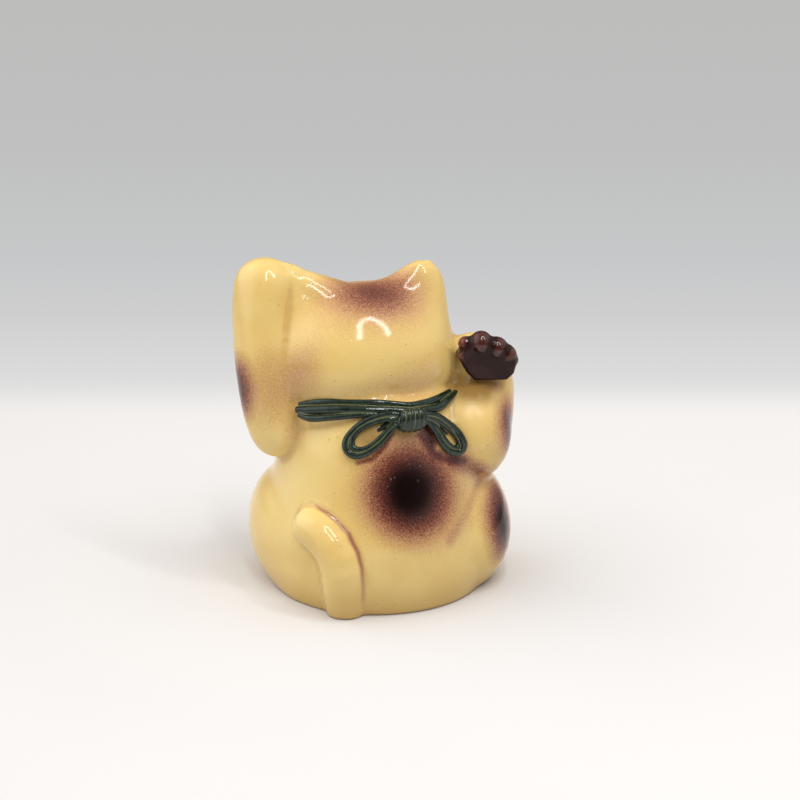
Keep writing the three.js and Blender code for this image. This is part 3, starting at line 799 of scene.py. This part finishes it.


# %% [markdown]
# ## Cream glaze with sprayed spots
# The ground is a warm cream glaze. On it the potter sprayed brown through an airbrush: dark in the
# middle of each spot and breaking into droplets at its edge. A texture picture could hold that, but
# only for one unwrapping of the skin. Distances to points on the figure do the same anywhere: each spot
# is an oval region with a soft edge, and a streak along a crease is the region round a line. What one
# covers is taken from what the others left clear.
# Some faint spots and streaks are painted shade, not spray: under the bow loops, by the knot, under the
# charm, and low on the head and raised arm.

# %% Lay out the sprayed spots
SPOTS_AND_SHADE = [
    # centre, half sizes, how dense the middle is, and the share of the size where the fade starts
    # back and crown, each with a mist round it
    ((-2.0, 22.4, 26.6), (13.2, 14, 14.2), 1.0, 0.04),
    ((-4.5, 20.5, 26.5), (21.5, 14, 20), 0.3, 0.2),
    ((0.4, 2.0, 64.8), (14.5, 12, 9.8), 0.55, 0.0),
    ((2.2, 3, 63), (21, 15, 16), 0.2, 0.2),
    # raised arm, holding arm and haunch
    ((31.8, 2.7, 45), (6.5, 9, 11), 0.8, 0.1),
    ((-29.6, 11, 35.5), (9.5, 9.5, 10.5), 0.85, 0.05),
    ((-24.5, 13, 34), (8, 7, 9.5), 0.2, 0),
    ((-25.8, 16.5, 16), (9.5, 9, 14.5), 0.95, 0.1),
    ((-25, 11, 20.5), (6.5, 7, 6), 0.5, 0),
    # thin mists: partly sprayed brown, partly painted shade low on the head and raised arm and under the
    # charm
    ((18.6, 8.6, 47.5), (6, 6, 11), 0.1, 0),
    ((-7, 10.5, 47.5), (17, 9, 10), 0.11, 0),
    ((3, 12, 44.5), (20, 8, 9), 0.1, 0),
    ((-20.5, 13.5, 25.3), (5.5, 6, 4), 0.26, 0),
    ((-23, 7.8, 43.7), (6.5, 4, 2.4), 0.36, 0),
    ((19.5, 8.7, 36.5), (4, 5, 7), 0.12, 0),
    ((24, 6, 46), (9, 9, 15), 0.2, 0),
    ((16.5, 8, 51), (8, 7, 10), 0.14, 0),
]
STREAKS_AND_SHADOWS = [
    # points along the middle, the half width and how dense the middle is
    ([(-19.3, 12.2, 24.3), (-10.2, 23.1, 15.3)], 2.2, 0.17),
    ([(-12.8, 16.9, 30.3), (-18.7, 14.9, 27.3)], 3.2, 0.38),
    # the next three: painted shadow with a little pooled brown, under the right loop, by the knot and
    # under the left loop
    ([(-5.2, 17.9, 37), (-8, 18.7, 33), (-11.5, 17.6, 31), (-15, 15.3, 30)], 1.8, 0.52),
    ([(-6.2, 16.9, 38.8), (-6.9, 17.2, 37.2), (-7.6, 17.7, 35.6)], 2.1, 0.75),
    ([(8.5, 18.9, 32.5), (5.6, 19.5, 33.3), (2.8, 19.1, 35.8), (1.1, 18.2, 38)], 0.9, 0.4),
]
cream = Finish(bpy.data.materials.new("cream_glaze"))
x, y, z = cream.split(cream.place)
clear = 1
for centre, half_sizes, dense, start in SPOTS_AND_SHADE:
    clear = clear * (1 - cream.step(cream.reach(centre, half_sizes), 1, start) * dense)
for points, half_width, dense in STREAKS_AND_SHADOWS:
    away = half_width
    for start, end in zip(points, points[1:]):
        away = cream.sum("MINIMUM", away, cream.from_line(start, end))
    clear = clear * (1 - cream.step(away, half_width, 0) * dense)
spray_and_shade = 1 - clear
print("Spots on the cream glaze:", len(SPOTS_AND_SHADE), "and streaks:", len(STREAKS_AND_SHADOWS))

# %% [markdown]
# Spray is droplets. Where it is thin they stand apart as dots on the ground, and where it is dense they
# run together, so the dots matter most at the edge of a spot.

# %% Break the spray into droplets
GRAIN_SIZE = 0.3
DROP_SPACING, DROP_RADIUS = 0.46, 0.24
grain = cream.noise(GRAIN_SIZE, 2, 0.7)
spatter = cream.dots(DROP_SPACING, DROP_RADIUS, spray_and_shade * 0.9)
sprayed_and_shaded = spray_and_shade + ((grain - 0.5) * 2.8 + spatter * 0.34) * spray_and_shade * (1.04 - spray_and_shade)
print("Nodes of the spray:", len(cream.tree.nodes))

# %% [markdown]
# Brown slip ran down the joint on one side of the tail. Every deep valley is a little darker too: some
# slip, and painted shade.
# The kept distances draw the line, and a curve along the tail tells that side of it from the other.

# %% Brown in the joints
TAIL_X, TAIL_BEND_Z, TAIL_CURVE = 12.8, 11, 0.033
tail_line = cream.step(cream.sum("ABSOLUTE", cream.attribute("tail_side") + 0.1), 1.2, 0.1)
above_bend = cream.sum("MAXIMUM", z - TAIL_BEND_Z, 0)
right_of_tail = cream.step(x - TAIL_X - above_bend * above_bend * TAIL_CURVE, 0.2, -1.2)
behind = cream.step(y, 12, 15) * cream.step(z, 1.5, 5)
half_way_up = cream.step(cream.sum("ABSOLUTE", z - 17), 14, 2)
thickness = 0.14 + half_way_up * 0.22 + cream.noise(2.5, 1) * 0.1
slip = tail_line * right_of_tail * behind * thickness
joint, bend = cream.attribute("joint"), cream.attribute("bend")
# Painted shade with some brown slip: darker in every deep valley near a joint.
valley_slip_and_shade = cream.step(joint, 1.0, 0.1) * cream.step(bend, 0.2, 0.7)
ink_and_shade = cream.sum("MAXIMUM", cream.sum("MAXIMUM", sprayed_and_shaded, slip), valley_slip_and_shade * 0.1)
print("Nodes with the joints:", len(cream.tree.nodes))

# %% [markdown]
# The ground colour drifts a little, as glaze does where it is thicker. It is paler on one side of the
# back, which is painted light. It is deeper in the valleys, where glaze pools and shade is painted in,
# round the foot, which is painted shade, and most of all in the saddle behind the holding arm and in
# the left loop, which is painted shade too. The ramp is what the brown turns to on it.

# %% Cream ground under the brown
drift = cream.noise(9, 2)
# Painted shade: darker towards the foot, and in the valleys together with some pooled glaze.
foot_shade = cream.step(z, 9, 0)
pooled_and_shade = cream.sum("MAXIMUM", cream.step(bend, 0.05, 0.8), foot_shade * 0.9)
even = cream.mix(cream.step(drift, 0.3, 0.7), colour(244, 211, 132), colour(238, 201, 121))
# Painted light: paler cream on the back's left side, where the side light falls.
lit_side = cream.step(cream.reach((24, 13, 27), (13, 14, 17)), 1, 0.2)
even = cream.mix(lit_side * 0.8, even, colour(254, 226, 152))
ground = cream.mix(pooled_and_shade * 0.6, even, colour(214, 172, 96))
fired = cream.ramp(ink_and_shade, [
    (0.0, colour(235, 200, 122)),
    (0.12, colour(223, 182, 112)),
    (0.25, colour(206, 158, 106)),
    (0.4, colour(172, 117, 84)),
    (0.55, colour(132, 76, 57)),
    (0.7, colour(91, 44, 34)),
    (0.85, colour(50, 23, 20)),
    (1.0, colour(28, 9, 8)),
])
painted = cream.mix(cream.step(ink_and_shade, 0.0, 0.14), ground, fired)
# Painted shade: the saddle under the charm behind the holding arm, and the inside of the left loop.
SHADE_POOLS = [
    # centre, half sizes and how deep the colour is
    ((-19, 8, 42.8), (8.5, 7.5, 5.2), 0.9),
    ((5.8, 17.5, 37.3), (4.2, 3, 3.2), 0.7),
]
for centre, half_sizes, deep in SHADE_POOLS:
    pool = cream.step(cream.reach(centre, half_sizes), 1, 0.25)
    painted = cream.mix(pool * deep, painted, colour(150, 114, 60))
print("Pools of glaze:", len(SHADE_POOLS))

# %% [markdown]
# Iron in the clay shows as a few brown specks. Bubbles that burst in the kiln left pinholes with a
# raised rim. Pale dots in the dark of a spot are painted glints on bubbles that didn't burst.

# %% Specks, pinholes and painted bubble glints
specks = cream.dots(1.3, 0.12, 0.2)
PIN_SPACING, PIN_SHARE = 1.9, 0.34
pinholes = cream.dots(PIN_SPACING, 0.26, PIN_SHARE)
pin_rims = cream.dots(PIN_SPACING, 0.5, PIN_SHARE) - pinholes
specked = cream.mix(specks * 0.6, painted, colour(128, 84, 48))
specked = cream.mix(pinholes * 0.25, specked, colour(168, 138, 84))
# Painted highlights: pale glints on bubbles in the dark of a spot.
bubble_glints = cream.dots(1.2, 0.2, 0.4) * cream.step(spray_and_shade, 0.6, 0.9)
specked = cream.mix(bubble_glints * 0.5, specked, colour(206, 176, 158))
print("Nodes with the specks:", len(cream.tree.nodes))

# %% [markdown]
# ## The painted face
# The picture shows only the cat's back, so the face is a plain one in the manner of such figures:
# slit pupils, a small nose, a mouth of two arcs, whiskers, and lines between the toes. They are flat
# brushwork, so they are painted in the finish: ovals and lines measured across the front of the head.

# %% Brushes
def oval(across, up, wide, high, soft=0.12):
    """1 inside an oval of these half sizes, 0 outside."""
    across, up = across / wide, up / high
    return cream.step(cream.sum("SQRT", across * across + up * up), 1 + soft, 1 - soft)


def stroke(value, half):
    """1 where a value is within half of 0."""
    return cream.step(cream.sum("ABSOLUTE", value), half * 1.3, half * 0.7)


# %% [markdown]
# The face is the same on both sides, so each feature is painted once, by its distance beside the middle
# of the head.

# %% Paint the face
HEAD_X = 2.82
beside = cream.sum("ABSOLUTE", x - HEAD_X)
in_front = cream.step(y, -9, -10)
eye_across = beside - 7.2
eye_up = z - 51.6 - eye_across * 0.22
eye_line = oval(eye_across, eye_up, 3.0, 2.3)
eye_gold = oval(eye_across, eye_up, 2.6, 1.9)
pupil = oval(eye_across, eye_up, 0.85, 1.75)
glint = oval(eye_across - 0.5, eye_up - 0.8, 0.4, 0.4)
nose = oval(beside, z - 47.6, 1.2, 0.8)
from_mouth = beside - 1.5
below_nose = z - 46.2
arc = cream.sum("SQRT", from_mouth * from_mouth + below_nose * below_nose)
mouth = stroke(arc - 1.5, 0.2) * cream.step(z, 46.5, 46.2)
whisker_reach = cream.step(beside, 7.2, 7.8) * cream.step(beside, 14, 12.5)
whiskers = 0
for row in (-1, 0, 1):
    whiskers = whiskers + stroke(z - 46.4 - row * 1.5 - (beside - 7) * 0.14 * row, 0.17)
eyes_and_mouth = cream.sum("MAXIMUM", eye_line, mouth)
lines = cream.sum("MAXIMUM", eyes_and_mouth, whiskers * whisker_reach) * in_front
ear_across = cream.sum("ABSOLUTE", x - HEAD_X - 0.9) - 13.5 - (z - 61) * 0.23
ear_front = cream.step(y, -5.5, -6.5) * cream.step(z, 58, 60)
ear_inside = oval(ear_across, z - 63.2, 2.3, 4.4, 0.3) * ear_front
print("Face painted about x =", HEAD_X, "mm")

# %% [markdown]
# Two lines on a paw part its toes. Then the colours go over one another, from the inside of the ears to
# the glint in the eyes.

# %% Paint the toes, and lay the colours over one another
TOES = [
    # middle across, middle height, half length of the lines, and where the front of the paw begins
    (24.6, 66.2, 2.6, -8), (-9.7, 4.2, 2.4, -20), (10.3, 4.2, 2.4, -20),
]
toes = 0
for toe_x, toe_z, half_length, toe_front in TOES:
    for side in (-1.5, 1.5):
        line = oval(x - toe_x - side, z - toe_z, 0.24, half_length, 0.2)
        toes = toes + line * cream.step(y, toe_front, toe_front - 1)
faced = cream.mix(ear_inside * 0.8, specked, colour(196, 104, 84))
faced = cream.mix(cream.sum("MAXIMUM", lines, toes), faced, colour(30, 18, 14))
for share, tint in [
    (nose, colour(168, 82, 70)),
    (eye_gold, colour(226, 178, 60)),
    (pupil, colour(20, 12, 10)),
    (glint, colour(245, 240, 228)),
]:
    faced = cream.mix(share * in_front, faced, tint)
print("Paws with toes:", len(TOES))

# %% [markdown]
# Under the figure the clay is bare: the hollow was never glazed, and the foot was wiped so that it
# would not stick to the kiln shelf. The gloss is duller on the holding arm and under the knot. Where
# the brown is thickest the glaze turns metallic, which keeps the middle of a spot deep: a clear gloss
# would lay the grey of the room over it.

# %% Bare clay below, and the gloss
HOLLOW = (17.6, 17.6, 31.6)
inside = cream.reach(tuple(foot_axis / MM), HOLLOW)
bare = cream.sum("MAXIMUM", cream.step(inside, 1.02, 1.0), cream.step(z, 0.5, 0.25))
clay = cream.mix(cream.noise(0.6, 3), colour(196, 168, 130), colour(178, 146, 108))
tints = cream.mix(bare, faced, clay)
dull_arm = cream.step(cream.reach((-17.5, 13, 36.5), (8, 9, 9)), 1, 0.4)
dull_back = cream.step(cream.reach((-1.2, 19.3, 35.6), (7, 5, 4.5)), 1, 0.2)
gloss = 0.09 + bare * 0.65 + grain * 0.05 + dull_arm * 0.22 + dull_back * 0.26
ripple = cream.noise(4.5, 1) * 0.06 + grain * 0.006 * (1 + spray_and_shade * 2)
ripple = ripple - pinholes * 0.07 + pin_rims * 0.03
metal = cream.step(spray_and_shade, 0.7, 0.97) * 0.75
cream_glaze = cream.glaze(tints, gloss, ripple, metal=metal)
for node, piece in cream_pieces.items():
    piece.data.materials.append(cream_glaze)
    settled(piece, "cream_glaze", node)
print("Cream finish:", len(cream.tree.nodes), "nodes")

# %% [markdown]
# ## Green, brown and ochre glazes
# Dark green glaze covers the cord and breaks to a thin yellow-green line in the valleys between
# strands. Noise on the bend breaks that line up, as a brush would.

# %% Green glaze for the cord
green = Finish(bpy.data.materials.new("green_glaze"))
cloud = green.step(green.noise(1.4, 2), 0.3, 0.7)
deep = green.mix(cloud, colour(12, 30, 22), colour(30, 50, 36))
broken_up = (green.noise(0.9, 2) - 0.5) * 0.4 + (green.noise(2.6, 1) - 0.55) * 1.1
groove = green.step(green.attribute("bend") + broken_up, 0.32, 0.66)
broken = green.mix(groove * 0.7, deep, colour(120, 118, 68))
green_glaze = green.glaze(broken, 0.07 + green.noise(0.4) * 0.06, green.noise(0.6, 2) * 0.04)
GREEN_PIECES = [
    (collar_back, [f"collar_{side}_{row}" for side in ("left", "right") for row in ROWS]),
    (collar_front, front_nodes),
    (knot, ["bow_knot"]),
    (left_loop, ["bow_left_loop_outer", "bow_left_loop_inner"]),
    (right_loop, ["bow_right_loop_outer", "bow_right_loop_inner"]),
]
for piece, nodes in GREEN_PIECES:
    piece.data.materials.append(green_glaze)
    settled(piece, "green_glaze", *nodes)
print("Green pieces:", len(GREEN_PIECES))

# %% [markdown]
# The charm's brown is almost black on its flat face and turns rust-red on the ridges of the knobs, where
# it is thin. A clear coat lies only on the knobs, so that they glint and the face stays dark.

# %% Brown glaze for the charm
brown = Finish(bpy.data.materials.new("brown_glaze"))
KNOBS_FROM, KNOBS_FULL = 48.5, 51
knobbed = brown.step(brown.split(brown.place)[2], KNOBS_FROM, KNOBS_FULL)
charm_bend = brown.attribute("bend")
ridge = brown.step(charm_bend + (brown.noise(0.7) - 0.5) * 0.3, -0.15, -0.8) * knobbed
# Painted sheen: clouds of a lighter, greyer brown on the flat face.
cloudy_sheen = brown.step(brown.noise(3.5, 1), 0.35, 0.65)
face = brown.mix(cloudy_sheen, colour(40, 17, 13), colour(54, 29, 27))
rust = brown.mix(ridge * 0.85, face, colour(124, 48, 34))
brown_glaze = brown.glaze(
    rust, 0.06 + brown.noise(0.5) * 0.05, brown.noise(0.9, 2) * 0.05,
    ior=1.3, coat=brown.step(charm_bend, -0.1, -0.5) * knobbed,
)
charm.data.materials.append(brown_glaze)
settled(charm, "brown_glaze", "held_charm")
print("Brown finish:", len(brown.tree.nodes), "nodes")

# %% [markdown]
# The bell has a plain ochre glaze that pools darker along its band and in its slot.

# %% Ochre glaze for the bell
ochre = Finish(bpy.data.materials.new("ochre_glaze"))
pool = ochre.step(ochre.attribute("bend") + (ochre.noise(0.6) - 0.5) * 0.2, 0.1, 0.6)
gold = ochre.mix(ochre.noise(1.2, 2), colour(206, 156, 62), colour(186, 132, 48))
coated = ochre.mix(pool, gold, colour(92, 54, 22))
ochre_glaze = ochre.glaze(coated, 0.16 + ochre.noise(0.5) * 0.06, ochre.noise(0.7, 2) * 0.02)
bell.data.materials.append(ochre_glaze)
settled(bell, "ochre_glaze", "bell")
print("Ochre finish:", len(ochre.tree.nodes), "nodes")

# %% [markdown]
# ## Floor, backdrop and light
# The figure stands on a white table before a grey wall that is out of focus. One plane does for both: it
# is white round the figure, and beyond a soft line it takes the wall's grey. Both are only what is seen
# there, directly or in a gloss: light that bounces to the figure comes off a duller table.

# %% Floor and backdrop
FLOOR = 6
WALL_FROM, WALL_FULL = 112, 152
WALL_TOP = colour(189, 189, 188)
bpy.ops.mesh.primitive_plane_add(size=FLOOR, location=(0, 0, 0))
floor = bpy.context.object
floor.name = "table"
table = Finish(bpy.data.materials.new("table"))
toward = Vector((-back.x, -back.y, 0)).normalized()
away = table.vector("DOT_PRODUCT", table.place, tuple(toward), output="Value")
camera_height, camera_away = camera.location.z / MM, -camera.location.dot(toward) / MM
drop = camera_height / (away + camera_away)
# Painted light: the wall's grey shines by itself, lit by no lamp, and is painted lighter towards the
# table.
wall_grey = table.ramp(drop, [
    (0.07, WALL_TOP),
    (0.15, colour(191, 192, 191)),
    (0.22, colour(199, 200, 201)),
    (0.25, colour(206, 206, 207)),
    (0.285, colour(218, 218, 218)),
    (0.31, colour(228, 228, 227)),
])
shown = table.node("ShaderNodeEmission", {}, {"Color": wall_grey, "Strength": 1.0})
seen = table.sum(
    "MAXIMUM",
    table.node("ShaderNodeLightPath", {}, {}, "Is Camera Ray"),
    table.node("ShaderNodeLightPath", {}, {}, "Is Glossy Ray"),
)
paper = table.mix(table.noise(60, 2), colour(227, 224, 222), colour(223, 220, 218))
table_tint = table.mix(seen, colour(203, 201, 199), paper)
lit = table.node("ShaderNodeBsdfDiffuse", {}, {"Color": table_tint})
wall = table.step(away, WALL_FROM, WALL_FULL) * seen
surface = table.node("ShaderNodeMixShader", {}, {0: wall, 1: lit, 2: shown})
table.node("ShaderNodeOutputMaterial", {}, {"Surface": surface})
floor.data.materials.append(table.block)
print("Camera is", round(camera_height), "mm up and", round(camera_away), "mm back")

# %% [markdown]
# The light is a hoop of strip lamps over the camera, which draws the arched highlight on a glossy round
# head. Its ends are low at either side and its top is almost overhead, so it is laid out as half an oval
# of directions, and each strip spans two neighbouring points of it.

# %% Hoop of strip lamps
HOOP_AZIMUTH = math.radians(195.5)
HOOP_HALF_WIDTH = math.radians(14)
HOOP_TILT = math.radians(4.5)
HOOP_LOW = math.radians(46)
HOOP_RISE = math.radians(31)
HOOP_DISTANCE = 0.55
HOOP_STRIPS = 7
STRIP_WIDTH = 0.034
HOOP_POWER = 1.2
LAMP_TARGET = Vector((0, 0, 45 * MM))
sideways = direction(HOOP_AZIMUTH + math.pi / 2, 0)
hoop = []
for i in range(HOOP_STRIPS + 1):
    share = math.pi * (i / HOOP_STRIPS - 0.5)
    lean = HOOP_HALF_WIDTH * math.sin(share) + HOOP_TILT * math.cos(share)
    upright = direction(HOOP_AZIMUTH, HOOP_LOW + HOOP_RISE * math.cos(share))
    hoop.append(HOOP_DISTANCE * (upright * math.cos(lean) + sideways * math.sin(lean)))
spans = [b - a for a, b in zip(hoop, hoop[1:])]
hoop_length = sum(span.length for span in spans)
for i, (start, span) in enumerate(zip(hoop, spans)):
    middle = start + span / 2
    facing = middle.normalized()
    along = (span - facing * span.dot(facing)).normalized()
    axes = Matrix((along, facing.cross(along), facing)).transposed()
    bpy.ops.object.light_add(type="AREA", location=LAMP_TARGET + middle, rotation=axes.to_euler())
    lamp = bpy.context.object
    lamp.name = f"strip_lamp_{i + 1}"
    lamp.data.shape = "RECTANGLE"
    lamp.data.size = span.length
    lamp.data.size_y = STRIP_WIDTH
    lamp.data.energy = HOOP_POWER * span.length / hoop_length
print("Hoop of", HOOP_STRIPS, "strips,", round(hoop_length, 2), "m long")

# %% [markdown]
# A soft sky fills the shadows. It is pale overhead, as a room is, with grey walls and a window on each
# side. In a gloss the ceiling is dimmer and the walls are brighter, so the dark spots have something
# dark to mirror and the rims catch light. The camera itself sees plain grey there.

# %% Soft sky
sky = Finish(bpy.data.worlds.new("sky"))
scene.world = sky.block
sight = sky.node("ShaderNodeTexCoord", {}, {}, "Generated")
height = sky.split(sight)[2]
in_gloss = sky.node("ShaderNodeLightPath", {}, {}, "Is Glossy Ray")
ceiling = sky.step(height, 0.3, 1) * (1.0 - in_gloss * 0.6)
walls = sky.step(height, 0.4, 0) * (0.06 + in_gloss * 0.19)
dome = 0.04 + ceiling + walls
WINDOW_HEIGHT = math.radians(20)
WINDOWS = [
    # degrees from the camera, and how bright
    (-90, 1.4), (90, 0.5),
]
for beside_camera, level in WINDOWS:
    window = direction(AZIMUTH + math.radians(beside_camera), WINDOW_HEIGHT)
    facing = sky.vector("DOT_PRODUCT", sight, tuple(window), output="Value")
    dome = dome + sky.step(facing, 0.4, 1) * sky.step(height, 0, 0.3) * level
dome_light = sky.node("ShaderNodeBackground", {}, {"Color": dome, "Strength": 1.0})
plain = sky.node("ShaderNodeBackground", {}, {"Color": WALL_TOP, "Strength": 1.0})
to_camera = sky.node("ShaderNodeLightPath", {}, {}, "Is Camera Ray")
sky_light = sky.node("ShaderNodeMixShader", {}, {0: to_camera, 1: dome_light, 2: plain})
sky.node("ShaderNodeOutputWorld", {}, {"Surface": sky_light})
print("Sky with", len(WINDOWS), "windows")
